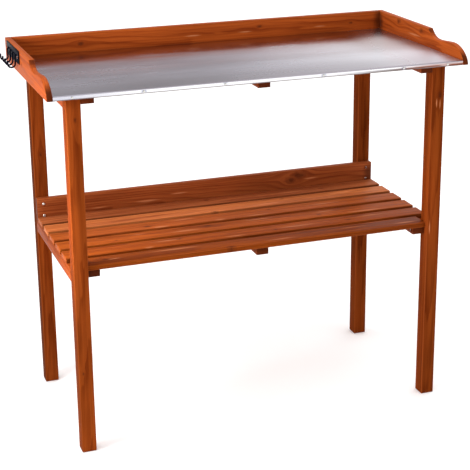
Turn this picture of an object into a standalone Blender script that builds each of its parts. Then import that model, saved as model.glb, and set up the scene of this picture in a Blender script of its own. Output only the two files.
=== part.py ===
"""Potting bench: a stained softwood bench with a zinc-covered worktop, a slatted shelf and a rail of hooks.

Metres, Z up. X runs from the left end to the right end, Y from the front to the back, and the feet stand on Z = 0.
The hooks stick out past the left end, so the bench itself stands half their reach to the right of the origin.
Every length below is given in the bench's own X, whose zero is midway between the side panels.
"""

import math

import bmesh
import bpy
from mathutils import Vector
from mathutils.geometry import interpolate_bezier

# ---- driving dimensions ----
GAP = 0.0003  # clearance left between two pieces that touch, and round a shank in its hole

BENCH_WIDTH = 0.980  # over the outer faces of the two side panels
BENCH_DEPTH = 0.460
WORKTOP_UNDERSIDE = 0.830
WORKTOP_SURFACE = 0.840
RIM_TOP = 0.885  # top of the side panels and of the worktop's back board

LEG_SIDE = 0.033
LEG_FRAME_WIDTH = 0.892  # over the outer faces of the left and right legs
FRONT_LEG_FACE = -0.203  # Y of the front face of the front legs
REAR_LEG_FACE = BENCH_DEPTH / 2 - LEG_SIDE  # Y of the front face of the rear legs

RAIL_THICKNESS = 0.018
RAIL_HEIGHT = 0.028
TENON_THICKNESS = 0.010
TENON_HEIGHT = 0.018
TENON_LENGTH = 0.012
TENON_ROOT = 0.006  # how far the tenon's block reaches back into its rail

BATTEN_WIDTH = 0.029
BATTEN_THICKNESS = 0.017
BATTEN_REAR = 0.226
SHELF_BATTEN_FRONT = -0.188

SIDE_PANEL_THICKNESS = 0.013
STEP_START = -0.052  # Y where the side panel's top edge starts to drop
HOLLOW = (-0.097, 0.8655)  # (Y, Z) of the lowest point of the hollow step
SHOULDER = (-0.166, 0.8703)  # (Y, Z) of the top of the low shoulder
NOSE_END = 0.832  # Z where the rounded nose has turned upright
BACK_BOARD_THICKNESS = 0.016

ZINC_THICKNESS = 0.0008
ZINC_BEND_RADIUS = 0.002
LIP_FACE = -0.228  # Y of the front face of the folded lip

SHELF_SURFACE = 0.447
SLAT_COUNT = 6
SLAT_WIDTH = 0.050
SLAT_PITCH = 0.0646
SLAT_THICKNESS = 0.0125
FRONT_SLAT_FACE = -0.194
SHELF_BACK_TOP = 0.493
SHELF_BACK_THICKNESS = 0.0155

PLATE_THICKNESS = 0.0025
PLATE_FRONT, PLATE_REAR = 0.052, 0.195
PLATE_TOP, PLATE_BOTTOM = RIM_TOP - 0.001, RIM_TOP - 0.031
HOOK_COUNT = 4
HOOK_PITCH = 0.030
HOOK_WIRE = 0.0040
HOOK_REACH = 0.025  # how far the hooks stand out from the left side panel
HOOK_PIN_HEIGHT = RIM_TOP - 0.0135
HOOK_TIP = RIM_TOP - 0.0255
HOOK_BOTTOM = RIM_TOP - 0.0435
HOOK_PIN_LENGTH = 0.002  # the part of the wire that sits in the plate
HOOK_BEND_RADIUS = 0.0022
HOOK_PLATE_CLEARANCE = 0.001  # between the shank and the plate

NAIL_PLACES = (-0.436, -0.281, -0.099, 0.131, 0.327, 0.438)  # X of the nails along the lip, set by hand
NAIL_HEIGHT = 0.8345
WORKTOP_SCREW_PLACES = {"front": -0.120, "rear": 0.150}
SHELF_BACK_SCREW_HEIGHTS = {"lower": 0.4500, "upper": 0.4795}
WORKTOP_FRAME_SCREW_FRONT = -0.1865  # Y of the screw through a worktop batten into a front leg
SHELF_FRAME_SCREW_FRONT = -0.178
PLATE_SCREW_MARGIN = 0.010  # from a plate screw to the plate's end

# (head radius, head height, shank radius, length) of each kind of fastener
WOOD_SCREW = (0.0034, 0.0020, 0.0016, 0.034)
FRAME_SCREW = (0.0038, 0.0022, 0.0018, 0.046)
WORKTOP_SCREW = (0.0034, 0.0020, 0.0016, 0.022)
PLATE_SCREW = (0.0034, 0.0018, 0.0015, 0.0125)
LIP_NAIL = (0.0024, 0.0007, 0.0009, 0.018)

LEG_ROUNDING = 0.0015
BOARD_ROUNDING = 0.0010
SLAT_ROUNDING = 0.0018
PLATE_ROUNDING = 0.0004

FASTENER_SIDES = 12
WIRE_SIDES = 10
ARC_STEPS = 4  # straight pieces in a quarter turn
CURVE_STEPS = 8  # straight pieces in each curve of the side panel
CUTTER_MARGIN = 0.002  # how far a cutter reaches out of the face that it enters

# ---- sizes worked out from them ----
CENTRE_X = HOOK_REACH / 2
HALF_WIDTH = BENCH_WIDTH / 2
HALF_DEPTH = BENCH_DEPTH / 2
HALF_FRAME = LEG_FRAME_WIDTH / 2
HALF_INSIDE = HALF_WIDTH - SIDE_PANEL_THICKNESS  # X of the inner faces of the side panels
LEG_INSIDE = HALF_FRAME - LEG_SIDE  # X of the inner faces of the legs
SLAT_UNDERSIDE = SHELF_SURFACE - SLAT_THICKNESS
PANEL_TOP = WORKTOP_SURFACE - ZINC_THICKNESS - GAP
PLATE_FACE = -HALF_WIDTH - GAP - PLATE_THICKNESS  # X of the hook plate's outer face
SIDES = {"left": -1, "right": 1}


# ---- materials ----
def material(name, colour, roughness, metallic=0.0):
    made = bpy.data.materials.new(name)
    made.use_nodes = True
    shader = made.node_tree.nodes["Principled BSDF"]
    shader.inputs["Base Color"].default_value = (*colour, 1.0)
    shader.inputs["Roughness"].default_value = roughness
    shader.inputs["Metallic"].default_value = metallic
    made.diffuse_color = (*colour, 1.0)
    return made


def stained_fir():
    return material("stained_fir", (0.42, 0.11, 0.03), 0.45)


def galvanised_zinc():
    return material("galvanised_zinc", (0.62, 0.62, 0.65), 0.35, 1.0)


def black_steel():
    return material("black_steel", (0.015, 0.015, 0.018), 0.45, 0.3)


def zinc_plated_steel():
    return material("zinc_plated_steel", (0.70, 0.70, 0.68), 0.30, 1.0)


# ---- shapes ----
def add_object(name, mesh, centre, surface=None):
    """An object of this mesh, standing at a place given in the bench's own X."""
    made = bpy.data.objects.new(name, mesh)
    made.location = (centre[0] + CENTRE_X, centre[1], centre[2])
    if surface:
        mesh.materials.append(surface)
    bpy.context.scene.collection.objects.link(made)
    return made


def finished(shape, name):
    """The mesh of a bmesh, with its faces turned outward."""
    bmesh.ops.recalc_face_normals(shape, faces=shape.faces)
    mesh = bpy.data.meshes.new(name)
    shape.to_mesh(mesh)
    shape.free()
    return mesh


def smoothed(mesh):
    """Shades a round mesh smooth, apart from its sharp rims."""
    mesh.shade_smooth()
    mesh.set_sharp_from_angle(angle=math.radians(50))
    return mesh


def box_mesh(name, size):
    shape = bmesh.new()
    bmesh.ops.create_cube(shape, size=1.0)
    bmesh.ops.scale(shape, vec=Vector(size), verts=shape.verts)
    return finished(shape, name)


def round_edges(target, radius):
    bevel = target.modifiers.new("rounded edges", "BEVEL")
    bevel.width = radius
    bevel.segments = 2
    bevel.limit_method = "ANGLE"
    bevel.angle_limit = math.radians(40)


def board(name, low, high, surface, rounding=BOARD_ROUNDING):
    """A straight piece of timber between two opposite corners."""
    low, high = Vector(low), Vector(high)
    made = add_object(name, box_mesh(name, high - low), (low + high) / 2, surface)
    round_edges(made, rounding)
    return made


def extruded(name, outline, length):
    """A solid with this (y, z) outline, drawn out evenly to both sides along X."""
    shape = bmesh.new()
    near = [shape.verts.new((-length / 2, y, z)) for y, z in outline]
    far = [shape.verts.new((length / 2, y, z)) for y, z in outline]
    shape.faces.new(near)
    shape.faces.new(reversed(far))
    for i, j in zip(range(len(outline)), [*range(1, len(outline)), 0]):
        shape.faces.new((near[i], far[i], far[j], near[j]))
    return finished(shape, name)


def revolved(name, profile):
    """A round solid on the local Z axis. The (radius, height) profile starts and ends on the axis."""
    shape = bmesh.new()
    start = shape.verts.new((0, 0, profile[0][1]))
    finish = shape.verts.new((0, 0, profile[-1][1]))
    angles = [2 * math.pi * k / FASTENER_SIDES for k in range(FASTENER_SIDES)]
    rings = []
    for radius, height in profile[1:-1]:
        rings.append([shape.verts.new((radius * math.cos(a), radius * math.sin(a), height)) for a in angles])
    for k in range(FASTENER_SIDES):
        following = (k + 1) % FASTENER_SIDES
        shape.faces.new((start, rings[0][k], rings[0][following]))
        shape.faces.new((finish, rings[-1][following], rings[-1][k]))
        for lower, upper in zip(rings, rings[1:]):
            shape.faces.new((lower[k], upper[k], upper[following], lower[following]))
    return smoothed(finished(shape, name))


def bent_rod(name, path, radius):
    """A round rod along an (x, z) path that lies in the plane Y = 0."""
    shape = bmesh.new()
    rings = []
    for i, (x, z) in enumerate(path):
        before = Vector(path[max(i - 1, 0)])
        after = Vector(path[min(i + 1, len(path) - 1)])
        direction = (after - before).normalized()
        ring = []
        for k in range(WIRE_SIDES):
            angle = 2 * math.pi * k / WIRE_SIDES
            out = radius * math.cos(angle)
            ring.append(shape.verts.new((x - direction.y * out, radius * math.sin(angle), z + direction.x * out)))
        rings.append(ring)
    for lower, upper in zip(rings, rings[1:]):
        for k in range(WIRE_SIDES):
            following = (k + 1) % WIRE_SIDES
            shape.faces.new((lower[k], lower[following], upper[following], upper[k]))
    shape.faces.new(rings[0])
    shape.faces.new(reversed(rings[-1]))
    return smoothed(finished(shape, name))


def combine(target, operation, helper):
    """Adds a hidden helper solid to the target, or takes it away."""
    helper.hide_render = True
    helper.display_type = "WIRE"
    boolean = target.modifiers.new(helper.name, "BOOLEAN")
    boolean.operation = operation
    boolean.solver = "EXACT"
    boolean.object = helper


# ---- fasteners ----
def fastener_profile(sizes):
    """A domed head above height 0 and a pointed shank below it."""
    head_radius, head_height, shank_radius, length = sizes
    return (
        (0, head_height),
        (head_radius * 0.65, head_height * 0.80),
        (head_radius, head_height * 0.25),
        (head_radius, 0),
        (shank_radius, 0),
        (shank_radius, -length + 2 * shank_radius),
        (0, -length),
    )


def round_bore(name, place, direction, radius, depth, pierced):
    """Bores a round hole into each pierced piece. direction points out of the hole."""
    profile = ((0, CUTTER_MARGIN), (radius, CUTTER_MARGIN), (radius, -depth), (0, -depth))
    bore = add_object(name, revolved(name, profile), place)
    turn_towards(bore, direction)
    for piece in pierced:
        combine(piece, "DIFFERENCE", bore)


def turn_towards(made, direction):
    """Turns the object so that its local Z points along this direction."""
    made.rotation_euler = Vector(direction).to_track_quat("Z", "Y").to_euler()


def fastener(name, seat, outward, sizes, surface, pierced):
    """A screw or nail whose head sits on a face, with a clearance hole in every piece it goes through.

    seat is the middle of the head's underside and outward is the way the head faces.
    """
    shank_radius, length = sizes[2:]
    lifted = Vector(seat) + Vector(outward) * GAP
    made = add_object(name, revolved(name, fastener_profile(sizes)), lifted, surface)
    turn_towards(made, outward)
    round_bore(name + "_bore", lifted, outward, shank_radius + GAP, length + GAP, pierced)


# ---- frame ----
def make_legs(wood):
    legs = {}
    for side, sign in SIDES.items():
        across = sorted((sign * HALF_FRAME, sign * LEG_INSIDE))
        for row, face in (("front", FRONT_LEG_FACE), ("rear", REAR_LEG_FACE)):
            low = (across[0], face, 0.0)
            high = (across[1], face + LEG_SIDE, WORKTOP_UNDERSIDE - GAP)
            legs[row, side] = board(f"leg_{row}_{side}", low, high, wood, LEG_ROUNDING)
    return legs


def cross_rail(name, side, top, wood, legs):
    """A rail from the front leg to the rear leg, flush with their outer faces, with a stub tenon at each end."""
    centre_x = SIDES[side] * (HALF_FRAME - RAIL_THICKNESS / 2)
    centre_z = top - RAIL_HEIGHT / 2
    front = FRONT_LEG_FACE + LEG_SIDE + GAP
    rear = REAR_LEG_FACE - GAP
    low = (centre_x - RAIL_THICKNESS / 2, front, top - RAIL_HEIGHT)
    high = (centre_x + RAIL_THICKNESS / 2, rear, top)
    rail = board(name, low, high, wood)
    for row, shoulder, outward in (("front", front, -1), ("rear", rear, 1)):
        size = Vector((TENON_THICKNESS, TENON_LENGTH + TENON_ROOT, TENON_HEIGHT))
        middle = (centre_x, shoulder + outward * (TENON_LENGTH - TENON_ROOT) / 2, centre_z)
        tenon = add_object(f"{name}_{row}_tenon", box_mesh("tenon", size), middle)
        combine(rail, "UNION", tenon)
        clearance = Vector((GAP, GAP, GAP))
        mortise = add_object(f"{name}_{row}_mortise", box_mesh("mortise", size + 2 * clearance), middle)
        combine(legs[row, side], "DIFFERENCE", mortise)


def make_cross_rails(wood, legs):
    for side in SIDES:
        cross_rail(f"upper_cross_rail_{side}", side, WORKTOP_UNDERSIDE - GAP, wood, legs)
        cross_rail(f"lower_cross_rail_{side}", side, SLAT_UNDERSIDE - GAP, wood, legs)


def batten_row(prefix, top, front, middle_rear, wood):
    """Three battens running from front to back: one inside each pair of legs and one in the middle."""
    against_legs = LEG_INSIDE - GAP - BATTEN_WIDTH / 2
    places = {
        "left": (-against_legs, BATTEN_REAR),
        "middle": (0.0, middle_rear),
        "right": (against_legs, BATTEN_REAR),
    }
    battens = {}
    for place, (centre, rear) in places.items():
        low = (centre - BATTEN_WIDTH / 2, front, top - BATTEN_THICKNESS)
        high = (centre + BATTEN_WIDTH / 2, rear, top)
        battens[place] = board(f"{prefix}_{place}", low, high, wood)
    return battens


def screw_battens_to_legs(prefix, battens, top, front_screw, legs, steel):
    """A screw through each outer batten into each leg that it lies against."""
    batten_face = LEG_INSIDE - GAP - BATTEN_WIDTH
    for side, sign in SIDES.items():
        for row, y in (("front", front_screw), ("rear", REAR_LEG_FACE + LEG_SIDE / 2)):
            seat = (sign * batten_face, y, top - BATTEN_THICKNESS / 2)
            pierced = (battens[side], legs[row, side])
            fastener(f"{prefix}_{row}_{side}", seat, (-sign, 0, 0), FRAME_SCREW, steel, pierced)


# ---- worktop ----
def curve(start, start_handle, end_handle, end):
    """Points along one Bezier curve in (y, z), without the first."""
    handles = [Vector(point) for point in (start, start_handle, end_handle, end)]
    return [tuple(point) for point in interpolate_bezier(*handles, CURVE_STEPS + 1)[1:]]


def side_panel_outline():
    """(y, z) of the side panel: level at the back, then a hollow step, a low shoulder and a rounded nose."""
    step = (STEP_START, RIM_TOP)
    nose_end = (-HALF_DEPTH, NOSE_END)
    outline = [(HALF_DEPTH, WORKTOP_UNDERSIDE), (HALF_DEPTH, RIM_TOP), step]
    outline += curve(step, (-0.062, 0.8745), (-0.074, HOLLOW[1]), HOLLOW)
    outline += curve(HOLLOW, (-0.120, HOLLOW[1]), (-0.145, SHOULDER[1]), SHOULDER)
    outline += curve(SHOULDER, (-0.197, SHOULDER[1]), (-0.2285, 0.850), nose_end)
    outline.append((-HALF_DEPTH, WORKTOP_UNDERSIDE))
    return outline


def make_side_panels(wood):
    panels = {}
    for side, sign in SIDES.items():
        name = f"side_panel_{side}"
        centre = (sign * (HALF_WIDTH - SIDE_PANEL_THICKNESS / 2), 0, 0)
        mesh = extruded(name, side_panel_outline(), SIDE_PANEL_THICKNESS)
        panels[side] = add_object(name, mesh, centre, wood)
        round_edges(panels[side], BOARD_ROUNDING)
    return panels


def zinc_outline():
    """(y, z) of the sheet: flat up to the back board, rolled over the front edge and turned down as a lip."""
    rear = HALF_DEPTH - BACK_BOARD_THICKNESS - GAP
    bend_y = LIP_FACE + ZINC_BEND_RADIUS
    bend_z = WORKTOP_SURFACE - ZINC_BEND_RADIUS
    outside, inside = [], []
    for k in range(ARC_STEPS + 1):
        angle = math.pi / 2 * (1 + k / ARC_STEPS)
        for points, radius in ((outside, ZINC_BEND_RADIUS), (inside, ZINC_BEND_RADIUS - ZINC_THICKNESS)):
            points.append((bend_y + radius * math.cos(angle), bend_z + radius * math.sin(angle)))
    lip_end = [(LIP_FACE, WORKTOP_UNDERSIDE), (LIP_FACE + ZINC_THICKNESS, WORKTOP_UNDERSIDE)]
    rear_edge = [(rear, WORKTOP_SURFACE - ZINC_THICKNESS), (rear, WORKTOP_SURFACE)]
    return [*outside, *lip_end, *reversed(inside), *rear_edge]


def make_worktop(wood, zinc):
    half = HALF_INSIDE - GAP
    panel_front = LIP_FACE + ZINC_THICKNESS + GAP
    panel = board("worktop_panel", (-half, panel_front, WORKTOP_UNDERSIDE), (half, HALF_DEPTH, PANEL_TOP), wood)
    sheet = add_object("zinc_sheet", extruded("zinc_sheet", zinc_outline(), 2 * half), (0, 0, 0), zinc)
    board_low = (-half, HALF_DEPTH - BACK_BOARD_THICKNESS, PANEL_TOP + GAP)
    board("worktop_back_board", board_low, (half, HALF_DEPTH, RIM_TOP), wood)
    return panel, sheet


def nail_lip(panel, sheet, steel):
    for number, x in enumerate(NAIL_PLACES, start=1):
        seat = (x, LIP_FACE, NAIL_HEIGHT)
        fastener(f"lip_nail_{number}", seat, (0, -1, 0), LIP_NAIL, steel, (sheet, panel))


def screw_worktop_down(battens, panel, steel):
    """Two screws up through each worktop batten into the panel."""
    seat_z = WORKTOP_UNDERSIDE - GAP - BATTEN_THICKNESS
    for place, batten in battens.items():
        x = batten.location.x - CENTRE_X
        for row, y in WORKTOP_SCREW_PLACES.items():
            name = f"worktop_screw_{place}_{row}"
            fastener(name, (x, y, seat_z), (0, 0, -1), WORKTOP_SCREW, steel, (batten, panel))


# ---- shelf ----
def slat_front(number):
    """Y of the front face of a slat. Slats are numbered from the back."""
    return FRONT_SLAT_FACE + (SLAT_COUNT - number) * SLAT_PITCH


def make_shelf_slats(wood):
    """All slats but the front one run over the cross rails to the outside of the legs."""
    for number in range(1, SLAT_COUNT + 1):
        half = LEG_INSIDE - GAP if number == SLAT_COUNT else HALF_FRAME
        front = slat_front(number)
        low = (-half, front, SLAT_UNDERSIDE)
        high = (half, front + SLAT_WIDTH, SHELF_SURFACE)
        board(f"shelf_slat_{number}", low, high, wood, SLAT_ROUNDING)


def make_shelf_back_board(wood, legs, steel):
    """A board standing on the lower cross rails and screwed to the front faces of the rear legs."""
    back = REAR_LEG_FACE - GAP
    front = back - SHELF_BACK_THICKNESS
    low = (-HALF_FRAME, front, SLAT_UNDERSIDE)
    made = board("shelf_back_board", low, (HALF_FRAME, back, SHELF_BACK_TOP), wood)
    for side, sign in SIDES.items():
        for level, height in SHELF_BACK_SCREW_HEIGHTS.items():
            seat = (sign * (HALF_FRAME - LEG_SIDE / 2), front, height)
            pierced = (made, legs["rear", side])
            fastener(f"shelf_back_screw_{level}_{side}", seat, (0, -1, 0), WOOD_SCREW, steel, pierced)


# ---- hooks ----
def hook_path():
    """(x, z) of the hook's wire: a pin in the plate, a bend, a short shank and a half-round that ends in a tip."""
    wire = HOOK_WIRE / 2
    shank_x = PLATE_FACE - HOOK_PLATE_CLEARANCE - wire
    tip_x = -HALF_WIDTH - HOOK_REACH + wire
    bowl_radius = (shank_x - tip_x) / 2
    bowl_x = (shank_x + tip_x) / 2
    bowl_z = HOOK_BOTTOM + wire + bowl_radius
    bend_x = shank_x + HOOK_BEND_RADIUS
    bend_z = HOOK_PIN_HEIGHT - HOOK_BEND_RADIUS
    path = [(PLATE_FACE + HOOK_PIN_LENGTH, HOOK_PIN_HEIGHT)]
    for k in range(ARC_STEPS + 1):
        angle = math.pi / 2 * (1 + k / ARC_STEPS)
        path.append((bend_x + HOOK_BEND_RADIUS * math.cos(angle), bend_z + HOOK_BEND_RADIUS * math.sin(angle)))
    bowl_steps = 3 * ARC_STEPS
    for k in range(bowl_steps + 1):
        angle = -math.pi * k / bowl_steps
        path.append((bowl_x + bowl_radius * math.cos(angle), bowl_z + bowl_radius * math.sin(angle)))
    path.append((tip_x, HOOK_TIP))
    return path


def make_hook_rail(panel, black, bright):
    low = (PLATE_FACE, PLATE_FRONT, PLATE_BOTTOM)
    high = (-HALF_WIDTH - GAP, PLATE_REAR, PLATE_TOP)
    rail = board("hook_rail", low, high, black, PLATE_ROUNDING)
    middle_y = (PLATE_FRONT + PLATE_REAR) / 2
    middle_z = (PLATE_BOTTOM + PLATE_TOP) / 2
    outward = (-1, 0, 0)
    for number in range(1, HOOK_COUNT + 1):
        y = middle_y + (number - (HOOK_COUNT + 1) / 2) * HOOK_PITCH
        name = f"hook_{number}"
        add_object(name, bent_rod(name, hook_path(), HOOK_WIRE / 2), (0, y, 0), black)
        place = (PLATE_FACE, y, HOOK_PIN_HEIGHT)
        depth = PLATE_THICKNESS + GAP / 2
        round_bore(name + "_bore", place, outward, HOOK_WIRE / 2 + GAP, depth, [rail])
    for end, y in (("front", PLATE_FRONT + PLATE_SCREW_MARGIN), ("rear", PLATE_REAR - PLATE_SCREW_MARGIN)):
        seat = (PLATE_FACE, y, middle_z)
        fastener(f"hook_rail_screw_{end}", seat, outward, PLATE_SCREW, bright, (rail, panel))


def clear_scene():
    for old in list(bpy.data.objects):
        bpy.data.objects.remove(old, do_unlink=True)


def build():
    clear_scene()
    wood = stained_fir()
    zinc = galvanised_zinc()
    black = black_steel()
    bright = zinc_plated_steel()

    legs = make_legs(wood)
    make_cross_rails(wood, legs)

    under_worktop = WORKTOP_UNDERSIDE - GAP
    worktop_battens = batten_row("worktop_batten", under_worktop, FRONT_LEG_FACE, BATTEN_REAR, wood)
    screw_battens_to_legs(
        "worktop_frame_screw", worktop_battens, under_worktop, WORKTOP_FRAME_SCREW_FRONT, legs, bright
    )
    under_slats = SLAT_UNDERSIDE - GAP
    rear_of_slats = slat_front(1) + SLAT_WIDTH
    shelf_battens = batten_row("shelf_batten", under_slats, SHELF_BATTEN_FRONT, rear_of_slats, wood)
    screw_battens_to_legs("shelf_frame_screw", shelf_battens, under_slats, SHELF_FRAME_SCREW_FRONT, legs, bright)

    panel, sheet = make_worktop(wood, zinc)
    nail_lip(panel, sheet, bright)
    screw_worktop_down(worktop_battens, panel, bright)
    side_panels = make_side_panels(wood)

    make_shelf_slats(wood)
    make_shelf_back_board(wood, legs, bright)
    make_hook_rail(side_panels["left"], black, bright)


build()
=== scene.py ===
"""Looks of the potting bench: stained fir, galvanised zinc, black hooks, bright screws, a white studio.

Everything is in metres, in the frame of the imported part: X from the left end to the right end, Y from the
front to the back, Z up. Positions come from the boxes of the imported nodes.
"""

import math
import random

import bmesh
import bpy
from mathutils import Matrix, Vector, noise


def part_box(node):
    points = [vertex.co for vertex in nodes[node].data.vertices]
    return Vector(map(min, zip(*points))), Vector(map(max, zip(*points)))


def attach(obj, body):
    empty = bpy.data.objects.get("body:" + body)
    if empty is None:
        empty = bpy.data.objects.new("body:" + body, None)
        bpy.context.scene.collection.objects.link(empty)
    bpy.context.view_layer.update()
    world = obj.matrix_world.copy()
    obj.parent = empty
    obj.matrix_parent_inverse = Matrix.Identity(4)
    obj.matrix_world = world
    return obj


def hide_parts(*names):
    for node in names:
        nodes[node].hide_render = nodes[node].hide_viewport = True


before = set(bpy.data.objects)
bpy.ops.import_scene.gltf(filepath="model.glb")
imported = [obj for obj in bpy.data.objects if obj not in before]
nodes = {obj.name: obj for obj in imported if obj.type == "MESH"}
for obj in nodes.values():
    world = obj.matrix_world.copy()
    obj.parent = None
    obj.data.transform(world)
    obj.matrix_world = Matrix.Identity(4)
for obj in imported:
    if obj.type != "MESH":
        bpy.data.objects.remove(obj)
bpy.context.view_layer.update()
X, Y, Z = 0, 1, 2
TRAY_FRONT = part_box("zinc_sheet")[0].y
TRAY_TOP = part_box("zinc_sheet")[1].z
CENTRE_X = (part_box("side_panel_left")[0].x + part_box("side_panel_right")[1].x) / 2
LIP_NAILS = [sum(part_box(f"lip_nail_{number}"), Vector()) / 2 for number in range(1, 7)]


# ---- a small helper for writing shader nodes ----
class Graph:
    """The node tree of one material or sky, with a short call for each kind of node."""

    def __init__(self, owner):
        owner.use_nodes = True
        self.owner = owner
        self.tree = owner.node_tree
        self.shader = self.tree.nodes.get("Principled BSDF")

    def put(self, socket, value):
        """Links a socket, or sets a plain value on it."""
        if isinstance(value, bpy.types.NodeSocket):
            self.tree.links.new(value, socket)
        elif value is not None:
            socket.default_value = value

    def node(self, kind, inputs=(), **settings):
        made = self.tree.nodes.new(kind)
        for key, value in settings.items():
            setattr(made, key, value)
        for key, value in dict(inputs).items():
            self.put(made.inputs[key], value)
        return made

    def math(self, operation, a, b=None):
        made = self.node("ShaderNodeMath", operation=operation)
        for socket, value in zip(made.inputs, (a, b)):
            self.put(socket, value)
        return made.outputs[0]

    def add(self, a, b):
        return self.math("ADD", a, b)

    def sub(self, a, b):
        return self.math("SUBTRACT", a, b)

    def mul(self, a, b):
        return self.math("MULTIPLY", a, b)

    def swing(self, value, reach):
        """A noise of 0 to 1 turned into a deviation of half of reach to either side of 0."""
        return self.mul(self.sub(value, 0.5), reach)

    def length(self, a, b):
        """The length of a vector with the parts a and b."""
        return self.math("SQRT", self.add(self.mul(a, a), self.mul(b, b)))

    def band(self, value, low, high, start=0.0, end=1.0):
        """Maps low..high to start..end with an eased, clamped step."""
        made = self.node("ShaderNodeMapRange", interpolation_type="SMOOTHSTEP")
        given = {"Value": value, "From Min": low, "From Max": high, "To Min": start, "To Max": end}
        for key, part in given.items():
            self.put(made.inputs[key], part)
        return made.outputs["Result"]

    def combine(self, x, y, z):
        return self.node("ShaderNodeCombineXYZ", {"X": x, "Y": y, "Z": z}).outputs[0]

    def noise(self, vector, scale, detail=2.0, roughness=0.5, distortion=0.0):
        inputs = {"Vector": vector, "Scale": scale, "Detail": detail}
        inputs |= {"Roughness": roughness, "Distortion": distortion}
        return self.node("ShaderNodeTexNoise", inputs).outputs["Fac"]

    def stretched_noise(self, place, kind):
        """Noise that is finer one way than another. kind is its fineness by axis and its settings."""
        fineness, settings = kind
        point = self.combine(*[self.mul(part, times) for part, times in zip(place, fineness)])
        return self.noise(point, *settings)

    def grain_noise(self, place, grain, shift):
        """Noise drawn out along the grain. place is along, across and deep, and shift is along and deep."""
        (fine_along, fine_across), scale, detail, roughness = grain
        along = self.add(self.mul(place[0], fine_along), shift[0])
        across = self.mul(place[1], fine_across)
        deep = self.add(self.mul(place[2], fine_across), shift[1])
        return self.noise(self.combine(along, across, deep), scale, detail, roughness)

    def mix(self, share, a, b, blend="MIX"):
        made = self.node("ShaderNodeMix", data_type="RGBA", blend_type=blend, clamp_factor=True)
        for key, value in zip((0, 6, 7), (share, a, b)):
            self.put(made.inputs[key], (*value, 1.0) if isinstance(value, tuple) else value)
        return made.outputs[2]

    def tinted(self, colour, red, green, blue):
        return self.mix(1.0, colour, self.combine(red, green, blue), "MULTIPLY")

    def bump(self, height, distance, strength=1.0, normal=None):
        made = self.node("ShaderNodeBump", {"Height": height, "Distance": distance, "Strength": strength})
        if normal is not None:
            self.put(made.inputs["Normal"], normal)
        return made.outputs["Normal"]

    def place(self):
        """The X, Y and Z of the point on the bench, in metres."""
        split = self.node("ShaderNodeSeparateXYZ")
        self.put(split.inputs[0], self.node("ShaderNodeTexCoord").outputs["Object"])
        return list(split.outputs)


# ---- stained fir ----
EARLY_WOOD = (0.335, 0.064, 0.0095)  # the wide pale part of a growth ring, under the stain
LATE_WOOD = (0.160, 0.023, 0.0030)  # its narrow dark part
KNOT_HEART = (0.060, 0.013, 0.0050)
PALE_FLECK = (0.560, 0.190, 0.0750)  # wood beside a knot that took little stain
# a painted highlight on the edges, where they catch the light
EDGE_HIGHLIGHT = (0.420, 0.098, 0.0230)
END_GRAIN = (0.070, 0.012, 0.0028)
LEG_GLOSS = 0.002
BOARD_GLOSS = 0.03

RING_WIDTH = 0.0042
RING_DRIFT = 0.030
RING_WAVER = 1.1  # in rings
RING_DARKENS = (0.35, 0.92)  # where a ring starts to darken and where it is darkest, as shares of it
RING_CLOSES = (0.93, 1.0)  # where it turns pale again
STREAK_RANGE = (0.36, 0.66)
RING_SHARE = 0.46  # how much the rings, the streaks and the fibres darken the wood
STREAK_SHARE = 0.48
FIBRE_SHARE = 0.75
BLOTCH_SHARE = 0.55
PITH_DEPTH = (0.030, 0.070)  # least and greatest distance of the tree's pith from the board
LEAN_ACROSS = 0.025
LEAN_DEEP = 0.030
KNOT_STRETCH = 0.55  # how much less a distance along the grain counts round a knot
KNOT_CLOSENESS = 0.42  # the rings bend within about a knot's radius divided by this
KNOT_SQUEEZE = 0.85
KNOT_WOBBLE = 0.9  # how far its outline wanders in and out in all, in radii
KNOT_WOBBLE_FINENESS = 0.9
KNOT_FADE = (0.30, 1.15)  # where a knot's colour starts to fade and where it ends, in radii
KNOT_RING_TURNS = 9.0
KNOT_RING_SHARE = 0.18
KNOT_SHARE = 0.72
FLECK_RAGGED = (1.8, 1.0)  # how much the streaks and the fibres fray a fleck
FLECK_FADE = (0.1, 1.0, 0.90, 0.0)  # start and end from the middle, and the share at each
FLECK_LIFT = 0.75  # how much a bright board lifts its flecks
# the dark patches at board ends, painted shade: how ragged they are and how they fade
SHADED_END_RAGGED = 0.8
SHADED_END_FADE = (0.2, 1.0, 0.7, 0.0)
EDGE_HIGHLIGHT_FADE = (0.0004, 0.0026, 0.40, 0.0)  # from an edge: the reach of a painted highlight where the edges catch the light
EDGE_HIGHLIGHT_PATCHES = 0.004
END_FACING = (0.35, 0.75)  # how far a normal leans along the grain where an end starts and is full
SIDE_FACING = (0.6, 0.9)
WOOD_ROUGHNESS = 0.47
FIBRE_ROUGHNESS = 0.22
RING_ROUGHNESS = -0.06
FIBRE_HEIGHT = 0.5
RING_HEIGHT = 0.6
GRAIN_RELIEF = 0.00035
GRAIN_STRENGTH = 0.55

# fineness of each noise along the grain and across it, then its scale, detail and roughness
DRIFT_GRAIN = ((1.3, 9.0), 2.0, 2.0, 0.5)
WAVER_GRAIN = ((6.0, 60.0), 1.5, 2.0, 0.5)
FIBRE_GRAIN = ((9.0, 430.0), 1.0, 3.0, 0.6)
STREAK_GRAIN = ((2.2, 95.0), 1.0, 3.0, 0.55)
BLOTCH_GRAIN = ((5.0, 16.0), 1.0, 2.0, 0.5)
GRAIN_SHIFT = 20  # the most that a board's noises are shifted either way, so that no two boards match
KNOT_SHIFT = 9


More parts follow.
